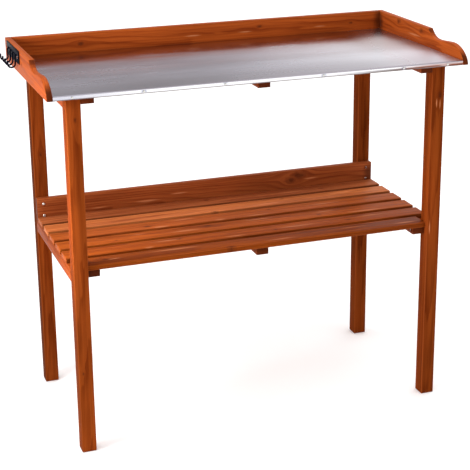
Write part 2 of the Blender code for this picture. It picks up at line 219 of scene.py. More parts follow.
class Cut:
    """How a board is sawn and stained. Places are from its middle, along the grain and across the board.

    along and across are the axes of the grain and of the face's width, and tone is the board's brightness,
    partly
    its stain and partly painted light: higher on boards whose faces catch more light, lower on shaded ones.
    A knot is (place along, place across, radius). A fleck is pale, and an entry of stains is a dark patch
    of painted shade at an end where the board meets another part, each (place along, place across, length,
    width). faded is extra green and blue, partly the tint of a thin or thick stain and partly a painted
    pale sheen. painted_side_light is the brightness of the narrow sides beside the faces, painted light
    above 1 and painted shade below it. end_stain_and_shade says how dark the sawn ends are, from 0, as the
    faces, to 1, as END_GRAIN: partly the deeper stain of end grain and partly painted shade, more on ends
    that face away from the light and less on lit ones.
    """

    def __init__(
        self, along, across, tone, knots=(), flecks=(), shaded_ends=(),
        tint_and_sheen=(0.0, 0.0), painted_side_light=1.0, end_stain_and_shade=0.75,
    ):
        self.along = along
        self.across = across
        self.tone = tone
        self.knots = knots
        self.flecks = flecks
        self.shaded_ends = shaded_ends
        self.tint_and_sheen = tint_and_sheen
        self.painted_side_light = painted_side_light
        self.end_stain_and_shade = end_stain_and_shade


def bend_round_knots(g, draw, u, v, knots):
    """The place across the board, squeezed towards each knot as the grain is, and a mask of the knots."""
    bent = v
    hearts = 0.0
    for at_u, at_v, radius in knots:
        du = g.sub(u, at_u)
        dv = g.sub(v, at_v)
        distance = g.length(g.mul(du, KNOT_STRETCH), dv)
        fall = g.math("POWER", g.mul(distance, KNOT_CLOSENESS / radius), 2.0)
        near = g.math("POWER", math.e, g.mul(fall, -1.0))
        bent = g.sub(bent, g.mul(g.mul(dv, near), KNOT_SQUEEZE))
        wobble = g.noise(g.combine(du, dv, draw.uniform(0, KNOT_SHIFT)), KNOT_WOBBLE_FINENESS / radius, 1.0)
        edge = g.add(g.mul(distance, 1.0 / radius), g.swing(wobble, KNOT_WOBBLE))
        ripples = g.mul(g.math("SINE", g.mul(edge, KNOT_RING_TURNS)), KNOT_RING_SHARE)
        heart = g.mul(g.band(edge, *KNOT_FADE, 1.0, 0.0), g.add(ripples, 1.0 - KNOT_RING_SHARE))
        hearts = g.math("MAXIMUM", hearts, heart)
    return bent, hearts


def pick_pith(draw, width):
    """Where the tree's pith lies, across and deep, and how far it leans each way along the board."""
    across = draw.uniform(-0.5, 0.5) * width
    deep = draw.choice((-1, 1)) * draw.uniform(*PITH_DEPTH)
    lean_across = draw.uniform(-LEAN_ACROSS, LEAN_ACROSS)
    lean_deep = draw.uniform(-LEAN_DEEP, LEAN_DEEP)
    return across, deep, lean_across, lean_deep


def growth_rings(g, grain, pith, offset):
    """Rings round the pith, from 0 in the pale wood to 1 at the dark end of each ring."""
    u, v, w = grain
    pith_v, pith_w, lean_v, lean_w = pith
    drift = g.swing(g.grain_noise(grain, DRIFT_GRAIN, (offset[0], offset[1])), RING_DRIFT)
    from_v = g.add(g.sub(g.sub(v, pith_v), g.mul(u, lean_v)), drift)
    from_w = g.sub(g.sub(w, pith_w), g.mul(u, lean_w))
    waver = g.grain_noise(grain, WAVER_GRAIN, (0.0, offset[2]))
    turns = g.add(g.mul(g.length(from_v, from_w), 1.0 / RING_WIDTH), g.mul(waver, RING_WAVER))
    phase = g.math("FRACT", turns)
    return g.mul(g.band(phase, *RING_DARKENS), g.band(phase, *RING_CLOSES, 1.0, 0.0))


def oval(g, u, v, patch):
    """0 in the middle of an oval patch and 1 at its edge."""
    at_u, at_v, length, width = patch
    return g.length(g.mul(g.sub(u, at_u), 2.0 / length), g.mul(g.sub(v, at_v), 2.0 / width))


def distance_to_edge(g, place, low, high):
    """How far a point on the board's surface is from the nearest edge: the middle one of its margins."""
    margins = [g.math("MINIMUM", g.sub(place[i], low[i]), g.sub(high[i], place[i])) for i in (X, Y, Z)]
    least = g.math("MINIMUM", margins[0], g.math("MINIMUM", margins[1], margins[2]))
    most = g.math("MAXIMUM", margins[0], g.math("MAXIMUM", margins[1], margins[2]))
    total = g.add(margins[0], g.add(margins[1], margins[2]))
    return g.sub(g.sub(total, least), most)


def face_by_face(g, colour, cut, to_edge):
    """Sawn ends are darker, partly from soaking up more stain and partly as painted shade; the narrow sides
    get painted light and shade by the way they face; and the edges get a painted highlight.
    """
    normal = g.node("ShaderNodeSeparateXYZ", {0: g.node("ShaderNodeNewGeometry").outputs["Normal"]})
    end = g.band(g.math("ABSOLUTE", normal.outputs[cut.along]), *END_FACING)
    # painted light and shade on the narrow sides, by the way they face
    side = g.band(g.math("ABSOLUTE", normal.outputs[cut.across]), *SIDE_FACING, 1.0, cut.painted_side_light)
    # sawn ends darker: partly their deeper stain, partly painted shade on ends away from the light
    colour = g.mix(g.mul(end, cut.end_stain_and_shade), colour, END_GRAIN)
    colour = g.tinted(colour, side, side, side)
    # painted highlight along the edges, where they catch the light
    edge_highlight = g.mul(g.band(to_edge, *EDGE_HIGHLIGHT_FADE), g.mul(g.sub(1.0, end), side))
    return g.mix(edge_highlight, colour, EDGE_HIGHLIGHT)


def stained_fir(name, cut, low, high, seed):
    """Fir with growth rings, fibres and knots under a translucent stain, for a board from low to high."""
    g = Graph(bpy.data.materials.new(name))
    draw = random.Random(seed)
    place = g.place()
    deep = X + Y + Z - cut.along - cut.across
    middle = (low + high) / 2
    u, v, w = (g.sub(place[axis], middle[axis]) for axis in (cut.along, cut.across, deep))
    bent, hearts = bend_round_knots(g, draw, u, v, cut.knots)
    pith = pick_pith(draw, high[cut.across] - low[cut.across])
    offset = [draw.uniform(-GRAIN_SHIFT, GRAIN_SHIFT) for _ in range(3)]
    grain = (u, bent, w)
    rings = growth_rings(g, grain, pith, offset)
    fibres = g.grain_noise(grain, FIBRE_GRAIN, (offset[1], 0.0))
    streaks = g.grain_noise(grain, STREAK_GRAIN, (offset[2], offset[0]))
    blotches = g.grain_noise((u, v, w), BLOTCH_GRAIN, (offset[0], offset[2]))

    darkness = g.add(g.mul(rings, RING_SHARE), g.mul(g.band(streaks, *STREAK_RANGE), STREAK_SHARE))
    darkness = g.add(darkness, g.swing(fibres, FIBRE_SHARE))
    colour = g.mix(darkness, EARLY_WOOD, LATE_WOOD)
    # the board's tone sets its brightness: partly its stain, partly painted light
    shade = g.add(g.swing(blotches, BLOTCH_SHARE), cut.tone)
    # green and blue added: partly the stain's tint, partly a painted pale sheen
    tint_with_sheen = (1.0, 1.0 + cut.tint_and_sheen[0], 1.0 + cut.tint_and_sheen[1])
    colour = g.tinted(colour, *[g.mul(shade, part) for part in tint_with_sheen])

    pale = tuple(part * max(1.0, FLECK_LIFT * cut.tone) for part in PALE_FLECK)
    by_streaks, by_fibres = FLECK_RAGGED
    ragged = g.add(g.swing(streaks, by_streaks), g.swing(fibres, by_fibres))
    for fleck in cut.flecks:
        reach = g.add(oval(g, u, v, fleck), ragged)
        colour = g.mix(g.band(reach, *FLECK_FADE), colour, pale)
    colour = g.mix(g.mul(hearts, KNOT_SHARE), colour, KNOT_HEART)
    # dark patches at a board's ends: painted shade where it meets another part
    for stain in cut.shaded_ends:
        reach = g.add(oval(g, u, v, stain), g.swing(blotches, SHADED_END_RAGGED))
        colour = g.mix(g.band(reach, *SHADED_END_FADE), colour, KNOT_HEART)
    patchy = g.add(distance_to_edge(g, place, low, high), g.swing(blotches, EDGE_HIGHLIGHT_PATCHES))
    g.put(g.shader.inputs["Base Color"], face_by_face(g, colour, cut, patchy))

    ringed = g.add(g.mul(rings, RING_ROUGHNESS), WOOD_ROUGHNESS)
    roughness = g.add(g.swing(fibres, FIBRE_ROUGHNESS), ringed)
    g.put(g.shader.inputs["Roughness"], roughness)
    g.shader.inputs["Specular IOR Level"].default_value = LEG_GLOSS if cut.along == Z else BOARD_GLOSS
    relief = g.sub(g.add(g.mul(fibres, FIBRE_HEIGHT), g.mul(rings, RING_HEIGHT)), hearts)
    g.put(g.shader.inputs["Normal"], g.bump(relief, GRAIN_RELIEF, GRAIN_STRENGTH))
    return g.owner


# ---- metals ----
ZINC_DULL = (0.435, 0.425, 0.500)
ZINC_BRIGHT = (0.635, 0.630, 0.725)
ZINC_FOLD_HIGHLIGHT = (0.930, 0.920, 0.950)  # a painted highlight along the top of the lip's fold
ZINC_SMEAR = (0.300, 0.270, 0.310)
# scuffs and painted shade: dark marks on the lip's lower part and the shadow at its hem
ZINC_SCUFF_AND_SHADE = (0.150, 0.110, 0.100)
ZINC_SMUDGE = (0.230, 0.250, 0.360)
# painted reflection: the sheet made brighter towards the right
ZINC_BRIGHT_REFLECTION = (0.860, 0.845, 0.890)
ZINC_WOOD_REFLECTION = (0.420, 0.330, 0.320)  # a painted brown reflection of the wood, along the back and at the right end
BACK_SWELL = 0.005  # how far the sheet seems to rise towards the back board
SIDE_SWELL = 0.0032  # and towards the right side panel
BACK_SWELL_Y = (-0.03, 0.214)
SIDE_SWELL_X = (0.36, 0.49)
ZINC_ROUGHNESS = 0.19
ROLL_RELIEF = (0.00010, 0.35)  # height and strength

# the sheet's noises: fineness along X, Y and Z, then scale, detail, roughness and distortion
CLOUDS = ((2.0, 7.0, 1.0), (1.6, 3.0, 0.5, 0.0))
ROLL_MARKS = ((1.8, 70.0, 70.0), (1.0, 2.0, 0.5, 0.0))
SMEARS = ((3.0, 13.0, 1.0), (1.3, 3.0, 0.5, 0.4))
SCUFFS = ((16.0, 1.0, 260.0), (1.0, 2.0, 0.5, 0.0))
SPANGLE_FINENESS = 110.0
CLOUD_SHINE, GRAIN_SHINE, ROLL_SHINE = 1.1, 0.05, 0.35
CLOUD_ROUGHNESS, SMEAR_ROUGHNESS, GRAIN_ROUGHNESS = 0.10, 0.08, 0.012
SMEAR_RANGE = (0.48, 0.75)
SMEAR_SHARE = 0.30
SCUFF_RANGE = (0.32, 0.50)
SMUDGE_RANGE = (0.35, 0.60)
SMUDGE_RAGGED = 0.008

# where each mark on the sheet starts and ends, and its share at the start and at the end
# a painted reflection, brighter towards the right end
BRIGHT_REFLECTION_X = (-0.10, 0.46, 0.0, 0.65)
GRIME_END = TRAY_FRONT + 0.16
GRIME_Y = (TRAY_FRONT, GRIME_END, 0.45, 0.0)
MIDDLE_GRIME_Y = (TRAY_FRONT, GRIME_END, 1.0, 0.0)
MIDDLE_GRIME_X = (0.25, 0.40, 0.35, 0.0)  # to either side of X = 0
# painted shade: a dark line just behind the lip's fold, stronger towards the right
CREASE_SHADE_Y = (TRAY_FRONT + 0.004, TRAY_FRONT + 0.011, 0.95, 0.0)
CREASE_SHADE_X = (-0.10, 0.36, 0.25, 1.0)
# painted brown reflection of the back board, towards the back
BACK_REFLECTION_Y = (0.02, 0.19, 0.0, 0.55)
BACK_REFLECTION_X = (0.25, 0.45, 1.0, 0.7)
# painted brown reflection of the right side panel and its shadow, towards the right end
SIDE_REFLECTION_Y = (-0.14, 0.05, 0.0, 0.8)
SIDE_REFLECTION_X = (0.28, 0.40, 0.0, 1.0)
ON_TOP_Z = (TRAY_TOP - 0.0030, TRAY_TOP - 0.0010, 0.0, 1.0)
# painted highlight along the top of the lip's fold, fainter at the left end
FOLD_HIGHLIGHT_Z = (TRAY_TOP - 0.0020, TRAY_TOP - 0.0008, 0.9, 0.0)
FOLD_HIGHLIGHT_X = (-0.44, -0.26, 0.25, 1.0)
# the lower part of the lip at the right: scuffs with painted dark reflection of the wood
SCUFF_AND_SHADE_Z = (TRAY_TOP - 0.0060, TRAY_TOP - 0.0040, 1.0, 0.0)
SCUFF_AND_SHADE_X = (0.10, 0.38, 0.0, 1.0)
SMUDGED_FROM_NAIL = (0.003, 0.009, 0.75, 0.0)
# painted brown reflection of the wood on the lip at the right
LIP_WOOD_REFLECTION_X = (0.30, 0.42, 0.0, 0.55)
# painted shadow along the lip's lower hem
HEM_SHADOW_Z = (TRAY_TOP - 0.0088, TRAY_TOP - 0.0076, 0.85, 0.0)
ROUGHER_X = (0.34, 0.45, 0.0, 0.14)  # here the share is roughness added
SMOOTHER_Y = (0.02, 0.16, 0.0, 0.10)  # and here roughness taken off

BLACK_COAT = (0.003, 0.003, 0.007)
THIN_COAT = (0.012, 0.012, 0.020)
THIN_SPOTS = (160.0, 3.0, 0.6)  # scale, detail and roughness
THIN_RANGE = (0.55, 0.80)
THIN_SHARE = 0.35
COAT_ROUGHNESS = (0.36, 0.14)  # of the full coat, and more where it is thin
COAT_GLOSS = 0.01
COAT_PITS = 900.0
COAT_RELIEF = (0.00008, 0.4)  # height and strength
PLATE_DULL = (0.62, 0.60, 0.56)
PLATE_BRIGHT = (0.86, 0.85, 0.82)
PLATE_STAIN = (300.0, 3.0, 0.6)
PLATE_STAIN_RANGE = (0.75, 0.45)
PLATE_ROUGHNESS = (0.20, 0.18, 0.3)  # of clean plate, then what is added by stain and by smears
PLATE_RELIEF = (0.00008, 0.3)


def zinc_top(g, x, y, colour, smears, on_top):
    """Marks on the flat of the sheet: smears, a grimy front, a painted shadow line along the fold behind
    the lip, a right half painted brighter as a reflection, and a painted brown reflection of the wood along
    the back and at the right end.
    """
    colour = g.mix(g.mul(smears, SMEAR_SHARE), colour, ZINC_SMEAR)
    # painted reflection: the right half of the sheet made brighter
    colour = g.mix(g.band(x, *BRIGHT_REFLECTION_X), colour, ZINC_BRIGHT_REFLECTION)
    front = g.band(y, *GRIME_Y)
    middle = g.mul(g.band(g.math("ABSOLUTE", x), *MIDDLE_GRIME_X), g.band(y, *MIDDLE_GRIME_Y))
    # painted shade along the fold behind the lip, mixed into the grime
    crease_shade = g.mul(g.band(y, *CREASE_SHADE_Y), g.band(x, *CREASE_SHADE_X))
    grime_and_crease_shade = g.mul(g.add(g.add(front, middle), crease_shade), on_top)
    colour = g.mix(grime_and_crease_shade, colour, ZINC_SMEAR)
    # painted brown reflection of the back board
    back_reflection = g.mul(g.band(y, *BACK_REFLECTION_Y), g.band(x, *BACK_REFLECTION_X))
    colour = g.mix(back_reflection, colour, ZINC_WOOD_REFLECTION)
    # painted brown reflection and shadow of the right side panel
    side_reflection = g.mul(g.band(x, *SIDE_REFLECTION_X), g.band(y, *SIDE_REFLECTION_Y))
    return g.mix(side_reflection, colour, ZINC_WOOD_REFLECTION)


def zinc_lip(g, x, y, z, colour, on_top):
    """Marks on the lip: a painted highlight along its fold, scuffs and painted dark reflection at the
    right, a painted brown reflection of the wood at the right, smudges at the nails, and a painted shadow
    along its lower hem.
    """
    # painted highlight along the lip's fold
    fold_highlight = g.mul(g.band(z, *FOLD_HIGHLIGHT_Z), g.band(x, *FOLD_HIGHLIGHT_X))
    colour = g.mix(fold_highlight, colour, ZINC_FOLD_HIGHLIGHT)
    scuffs = g.stretched_noise((x, y, z), SCUFFS)
    # scuffs with painted dark reflection on the lower lip at the right
    scuffs_and_shade = g.mul(g.band(z, *SCUFF_AND_SHADE_Z), g.band(x, *SCUFF_AND_SHADE_X))
    colour = g.mix(g.mul(scuffs_and_shade, g.band(scuffs, *SCUFF_RANGE)), colour, ZINC_SCUFF_AND_SHADE)
    to_nail = 1.0
    for nail in LIP_NAILS:
        to_nail = g.math("MINIMUM", to_nail, g.math("ABSOLUTE", g.sub(x, nail.x)))
    on_lip = g.sub(1.0, on_top)
    smudge = g.band(g.add(to_nail, g.swing(scuffs, SMUDGE_RAGGED)), *SMUDGED_FROM_NAIL)
    smudge = g.mul(g.mul(smudge, on_lip), g.band(scuffs, *SMUDGE_RANGE))
    colour = g.mix(smudge, colour, ZINC_SMUDGE)
    # painted brown reflection of the wood on the lower lip at the right
    colour = g.mix(g.mul(on_lip, g.band(x, *LIP_WOOD_REFLECTION_X)), colour, EARLY_WOOD)
    # painted shadow along the lip's lower hem
    return g.mix(g.band(z, *HEM_SHADOW_Z), colour, ZINC_SCUFF_AND_SHADE)


def galvanised_zinc():
    """Thin satin sheet with faint spangle, rolling marks along its length, smears and a grimy front, and
    painted highlights, reflections and shadow lines.
    """
    g = Graph(bpy.data.materials.new("galvanised_zinc"))
    x, y, z = point = g.place()
    cloud = g.stretched_noise(point, CLOUDS)
    rolled = g.stretched_noise(point, ROLL_MARKS)
    cells = {"Vector": g.combine(*point), "Scale": SPANGLE_FINENESS, "Randomness": 1.0}
    spangle = g.node("ShaderNodeTexVoronoi", cells)
    grains = g.node("ShaderNodeSeparateColor", {"Color": spangle.outputs["Color"]}).outputs[0]
    smears = g.band(g.stretched_noise(point, SMEARS), *SMEAR_RANGE)
    shine = g.add(g.swing(cloud, CLOUD_SHINE), g.swing(grains, GRAIN_SHINE))
    shine = g.add(shine, g.swing(rolled, ROLL_SHINE))
    colour = g.mix(g.add(shine, 0.5), ZINC_DULL, ZINC_BRIGHT)
    on_top = g.band(z, *ON_TOP_Z)
    colour = zinc_top(g, x, y, colour, smears, on_top)
    g.put(g.shader.inputs["Base Color"], zinc_lip(g, x, y, z, colour, on_top))
    g.shader.inputs["Metallic"].default_value = 1.0

    roughness = g.add(g.mul(cloud, CLOUD_ROUGHNESS), g.mul(smears, SMEAR_ROUGHNESS))
    roughness = g.add(roughness, g.add(g.mul(grains, GRAIN_ROUGHNESS), ZINC_ROUGHNESS))
    roughness = g.sub(g.add(roughness, g.band(x, *ROUGHER_X)), g.band(y, *SMOOTHER_Y))
    g.put(g.shader.inputs["Roughness"], roughness)
    swell = g.bump(g.band(y, *BACK_SWELL_Y), BACK_SWELL)
    swell = g.bump(g.band(x, *SIDE_SWELL_X), SIDE_SWELL, 1.0, swell)
    g.put(g.shader.inputs["Normal"], g.bump(rolled, *ROLL_RELIEF, swell))
    return g.owner


def black_steel():
    """Black coated steel: satin, with spots where use has left the coat thinner."""
    g = Graph(bpy.data.materials.new("black_steel"))
    point = g.combine(*g.place())
    thin = g.band(g.noise(point, *THIN_SPOTS), *THIN_RANGE)
    full_roughness, thin_roughness = COAT_ROUGHNESS
    g.put(g.shader.inputs["Base Color"], g.mix(g.mul(thin, THIN_SHARE), BLACK_COAT, THIN_COAT))
    g.put(g.shader.inputs["Roughness"], g.add(g.mul(thin, thin_roughness), full_roughness))
    g.shader.inputs["Metallic"].default_value = 0.0
    g.shader.inputs["Specular IOR Level"].default_value = COAT_GLOSS
    g.put(g.shader.inputs["Normal"], g.bump(g.noise(point, COAT_PITS), *COAT_RELIEF))
    return g.owner


def zinc_plate(name, smear_and_shade):
    """Bright plated steel of the screws and nails, with wood stain over a share of it, which on screws in
    shade also stands in for painted shade.
    """
    g = Graph(bpy.data.materials.new(name))
    point = g.combine(*g.place())
    stain = g.noise(point, *PLATE_STAIN)
    clean_roughness, stain_roughness, smear_roughness = PLATE_ROUGHNESS
    plate = g.mix(stain, PLATE_DULL, PLATE_BRIGHT)
    share = g.mul(g.band(stain, *PLATE_STAIN_RANGE), smear_and_shade)
    g.put(g.shader.inputs["Base Color"], g.mix(share, plate, LATE_WOOD))
    base_roughness = clean_roughness + smear_roughness * smear_and_shade
    g.put(g.shader.inputs["Roughness"], g.add(g.mul(stain, stain_roughness), base_roughness))
    g.shader.inputs["Metallic"].default_value = 1.0
    g.put(g.shader.inputs["Normal"], g.bump(stain, *PLATE_RELIEF))
    return g.owner


# ---- dressing the timber ----
# besides the stain's own colour, each board's brightness, tint, sides and ends carry painted light and
# shade
TIMBER = {
    "leg_front_left": Cut(Z, X, 0.85, ((0.365, 0.003, 0.0040), (-0.22, -0.006, 0.0030)), painted_side_light=0.85),
    "leg_front_right": Cut(
        Z, X, 0.72,
        ((0.343, 0.005, 0.0065),),
        ((0.322, 0.006, 0.030, 0.004), (0.326, -0.003, 0.024, 0.004), (0.02, -0.01, 0.04, 0.005)),
    ),
    "leg_rear_left": Cut(Z, X, 0.72, ((0.185, 0.002, 0.0040),), painted_side_light=0.55),
    "leg_rear_right": Cut(Z, X, 0.60, ((-0.12, 0.0, 0.0035),)),
    "upper_cross_rail_left": Cut(Y, Z, 1.0),
    "upper_cross_rail_right": Cut(Y, Z, 0.9),
    "lower_cross_rail_left": Cut(Y, Z, 1.05, ((0.06, 0.003, 0.0035),)),
    "lower_cross_rail_right": Cut(Y, Z, 0.9),
    "worktop_batten_left": Cut(Y, X, 0.72),
    "worktop_batten_middle": Cut(Y, X, 0.72),
    "worktop_batten_right": Cut(Y, X, 0.72),
    "shelf_batten_left": Cut(Y, X, 0.75, end_stain_and_shade=0.95),
    "shelf_batten_middle": Cut(Y, X, 0.75),
    "shelf_batten_right": Cut(Y, X, 0.75),
    "worktop_panel": Cut(X, Y, 0.85, ((-0.20, 0.08, 0.009), (0.25, -0.1, 0.007))),
    "worktop_back_board": Cut(
        X, Z, 1.32,
        ((-0.312, -0.0035, 0.0055), (0.145, 0.006, 0.0045), (0.395, -0.002, 0.0035)),
        ((-0.031, -0.0045, 0.045, 0.005), (0.108, -0.0045, 0.045, 0.005), (0.308, -0.0045, 0.050, 0.005)),
        # dark patches at both ends: painted shade where the board meets the side panels
        ((0.476, 0.0, 0.045, 0.09), (-0.476, -0.01, 0.03, 0.06)),
    ),
    "side_panel_left": Cut(Y, Z, 1.08, ((0.035, 0.000, 0.0040),), painted_side_light=1.4, end_stain_and_shade=0.95),
    "side_panel_right": Cut(
        Y, Z, 1.50,
        ((0.105, 0.019, 0.0075), (-0.018, 0.016, 0.0075)),
        ((0.02, 0.0, 0.08, 0.006),),
        # a dark patch at the rear end: painted shade where the panel meets the back board
        ((0.212, 0.0, 0.050, 0.07),),
        end_stain_and_shade=0.90,
    ),
    "shelf_slat_1": Cut(
        X, Y, 1.40,
        ((-0.02, 0.006, 0.0050), (0.29, -0.004, 0.0040)),
        ((0.21, -0.006, 0.12, 0.007),),
        tint_and_sheen=(0.46, 2.10), painted_side_light=0.45, end_stain_and_shade=0.10,
    ),
    "shelf_slat_2": Cut(
        X, Y, 2.10,
        ((-0.03, -0.022, 0.0060), (-0.375, 0.0, 0.0030), (0.16, 0.012, 0.0040)),
        ((0.12, -0.010, 0.14, 0.011), (0.33, 0.008, 0.10, 0.010)),
        tint_and_sheen=(0.55, 1.90), painted_side_light=0.45, end_stain_and_shade=0.10,
    ),
    "shelf_slat_3": Cut(
        X, Y, 1.50,
        ((-0.216, -0.008, 0.0070), (0.10, 0.010, 0.0045)),
        (
            (-0.185, -0.021, 0.045, 0.010), (-0.037, -0.021, 0.040, 0.010), (0.06, -0.020, 0.10, 0.010),
            (-0.120, 0.012, 0.080, 0.009), (0.24, 0.004, 0.12, 0.010),
        ),
        tint_and_sheen=(0.18, 0.30), painted_side_light=0.45, end_stain_and_shade=0.10,
    ),
    "shelf_slat_4": Cut(
        X, Y, 1.40,
        ((-0.08, 0.010, 0.0060), (0.20, -0.006, 0.0050), (-0.31, -0.012, 0.0040)),
        (
            (-0.25, 0.010, 0.06, 0.010), (0.32, -0.018, 0.09, 0.010), (-0.14, -0.004, 0.09, 0.010),
            (0.05, 0.012, 0.11, 0.010), (0.22, 0.010, 0.07, 0.009),
        ),
        tint_and_sheen=(0.12, -0.10), painted_side_light=0.45, end_stain_and_shade=0.10,
    ),
    "shelf_slat_5": Cut(
        X, Y, 1.25,
        ((0.25, -0.004, 0.0050), (-0.17, 0.008, 0.0050), (0.06, -0.010, 0.0040)),
        (
            (-0.252, -0.021, 0.030, 0.010), (-0.042, -0.018, 0.06, 0.008), (-0.20, 0.008, 0.09, 0.010),
            (0.12, -0.004, 0.12, 0.010), (0.31, 0.010, 0.10, 0.010),
        ),
        tint_and_sheen=(0.06, -0.30), painted_side_light=0.45, end_stain_and_shade=0.10,
    ),
    "shelf_slat_6": Cut(
        X, Y, 0.95,
        ((-0.366, 0.002, 0.0050), (-0.078, -0.022, 0.0070)),
        (
            (-0.345, 0.000, 0.045, 0.010), (0.05, -0.010, 0.10, 0.010), (-0.20, 0.010, 0.12, 0.010),
            (0.24, 0.006, 0.12, 0.010), (0.37, -0.008, 0.08, 0.011),
        ),
        tint_and_sheen=(0.02, -0.45), painted_side_light=0.85, end_stain_and_shade=0.10,
    ),
    "shelf_back_board": Cut(
        X, Z, 1.05,
        ((0.240, 0.015, 0.0125), (0.217, 0.005, 0.0105)),
        (
            (-0.167, -0.007, 0.075, 0.009), (-0.293, -0.010, 0.070, 0.005), (-0.085, 0.004, 0.050, 0.005),
            (0.27, 0.004, 0.060, 0.006),
        ),
        # a dark patch at the right end: painted shade in the corner
        ((0.440, 0.0, 0.045, 0.09),),
        tint_and_sheen=(0.22, 1.10),
    ),
}
FIRST_SEED = 100
SHARP_ANGLE = math.radians(35)
SHORTEST_EASED = 0.0025  # shorter corners, such as those of a bore, stay crisp
WOOD_EASE = 0.0012
EASE_SEGMENTS = 2
SAME_PLACE = 0.00001
PLACE_DIGITS = 5  # decimals that tell two places apart, as SAME_PLACE does


def dress_timber():
    """Gives each wooden node its own cut of fir."""
    for number, (name, cut) in enumerate(TIMBER.items()):
        low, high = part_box(name)
        set_material(nodes[name], stained_fir(f"fir_{name}", cut, low, high, FIRST_SEED + number))
        ease_edges(nodes[name], WOOD_EASE)


def ends_of(mesh, vertices):
    """The ends of an edge as rounded places, so that the edges of split faces match."""
    return frozenset(tuple(round(c, PLACE_DIGITS) for c in mesh.vertices[i].co) for i in vertices)


def ease_edges(piece, width):
    """Smooths the curved faces, keeps the corners crisp, and rounds the long corners over by width."""
    mesh = piece.data
    if "custom_normal" in mesh.attributes:
        mesh.attributes.remove(mesh.attributes["custom_normal"])
    normals_at = {}
    for face in mesh.polygons:
        for key in face.edge_keys:
            normals_at.setdefault(ends_of(mesh, key), []).append(face.normal.copy())
    weights = []
    sharp = []
    for edge in mesh.edges:
        a, b = (mesh.vertices[i].co for i in edge.vertices)
        normals = normals_at[ends_of(mesh, edge.vertices)]
        corner = len(normals) < 2 or normals[0].angle(normals[1]) > SHARP_ANGLE
        eased = corner and width > 0 and (a - b).length > SHORTEST_EASED
        weights.append(1.0 if eased else 0.0)
        sharp.append(corner and not eased)
    mesh.shade_smooth()
    mesh.attributes.new("bevel_weight_edge", "FLOAT", "EDGE").data.foreach_set("value", weights)
    if "sharp_edge" not in mesh.attributes:
        mesh.attributes.new("sharp_edge", "BOOLEAN", "EDGE")
    mesh.attributes["sharp_edge"].data.foreach_set("value", sharp)
    weld = piece.modifiers.new("weld", "WELD")
    weld.merge_threshold = SAME_PLACE
    if width > 0:
        bevel = piece.modifiers.new("eased edges", "BEVEL")
        bevel.limit_method = "WEIGHT"
        bevel.width = width
        bevel.segments = EASE_SEGMENTS
        bevel.harden_normals = True


def set_material(piece, material):
    piece.data.materials.clear()
    piece.data.materials.append(material)


def link(name, mesh, material, location=(0, 0, 0)):
    piece = bpy.data.objects.new(name, mesh)
    piece.location = location
    bpy.context.scene.collection.objects.link(piece)
    set_material(piece, material)
    return piece


def finish_mesh(name, shape, material):
    """Turns the built shape into a smooth piece with crisp corners that rides on the bench."""
    bmesh.ops.recalc_face_normals(shape, faces=shape.faces)
    mesh = bpy.data.meshes.new(name)
    shape.to_mesh(mesh)
    shape.free()
    mesh.shade_smooth()
    mesh.set_sharp_from_angle(angle=SHARP_ANGLE)
    piece = link(name, mesh, material)
    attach(piece, "root")
    return piece


# ---- the zinc sheet, with its waves and its nailed lip ----
SHEET_THICKNESS = 0.0008
BEND_RADIUS = 0.0020
COLUMNS = 190  # faces along the sheet, from its back to the bend, round the bend and down the lip
FLAT_ROWS = 76
BEND_ROWS = 6
LIP_ROWS = 6
WAVE_DEPTH = 0.00022
WAVE_TURN = 44.0  # radians in a metre
WAVE_START = 1.0  # radians
WAVE_WANDER = 0.035
WANDER_FINENESS = 2.1  # along the sheet
WANDER_SLICE = (3.7, 0.5)  # where the noise is cut, which picks one wander out of many
WAVE_SHARE = 0.55  # of the even waves; the rest are uneven dents
DENT_FINENESS = (5.0, 9.0)  # along the sheet and across it
DENT_SLICE = 2.0
RIPPLE_FINENESS = (11.0, 40.0)  # along the lip and down it
LIP_DEPTH = 0.00035
LIP_FREE = 0.004  # how far below the top the lip may first be fully dented
DENT_DEPTH = 0.0007
DENT_REACH = 0.009


def sheet_profile(low, high, inset):
    """(y, z, is_lip) points of the section from the back to the lip's lower edge, inset from outside."""
    radius = BEND_RADIUS - inset
    centre_y, centre_z = low.y + BEND_RADIUS, high.z - BEND_RADIUS
    flat = centre_y - high.y
    points = [(high.y + flat * i / FLAT_ROWS, high.z - inset, False) for i in range(FLAT_ROWS)]
    for i in range(BEND_ROWS + 1):
        turn = math.pi / 2 * i / BEND_ROWS
        y = centre_y - radius * math.sin(turn)
        points.append((y, centre_z + radius * math.cos(turn), turn > math.pi / 4))
    drop = low.z - centre_z
    points += [(low.y + inset, centre_z + drop * i / LIP_ROWS, True) for i in range(1, LIP_ROWS + 1)]
    return points


def wave(x, y):
    """How far the sheet dips, from 0 to 1: long waves across its depth that wander along its length."""
    wander = noise.noise(Vector((x * WANDER_FINENESS, *WANDER_SLICE))) * WAVE_WANDER
    waves = 0.5 + 0.5 * math.sin((y + wander) * WAVE_TURN + WAVE_START)
    fine_x, fine_y = DENT_FINENESS
    dents = 0.5 + noise.noise(Vector((x * fine_x, y * fine_y, DENT_SLICE)))
    return min(1.0, max(0.0, WAVE_SHARE * waves + (1.0 - WAVE_SHARE) * dents))


def lip_dent(x, z, top):
    """How far the lip is pressed in: a slight ripple, and a dent round each nail."""
    fine_x, fine_z = RIPPLE_FINENESS
    ripple = 0.5 + 0.5 * noise.noise(Vector((x * fine_x, 0.0, z * fine_z)))
    dents = sum(math.exp(-((x - n.x) ** 2 + (z - n.z) ** 2) / DENT_REACH**2 * 2) for n in LIP_NAILS)
    return min(LIP_DEPTH * ripple + DENT_DEPTH * dents, DENT_DEPTH) * min(1.0, (top - z) / LIP_FREE)


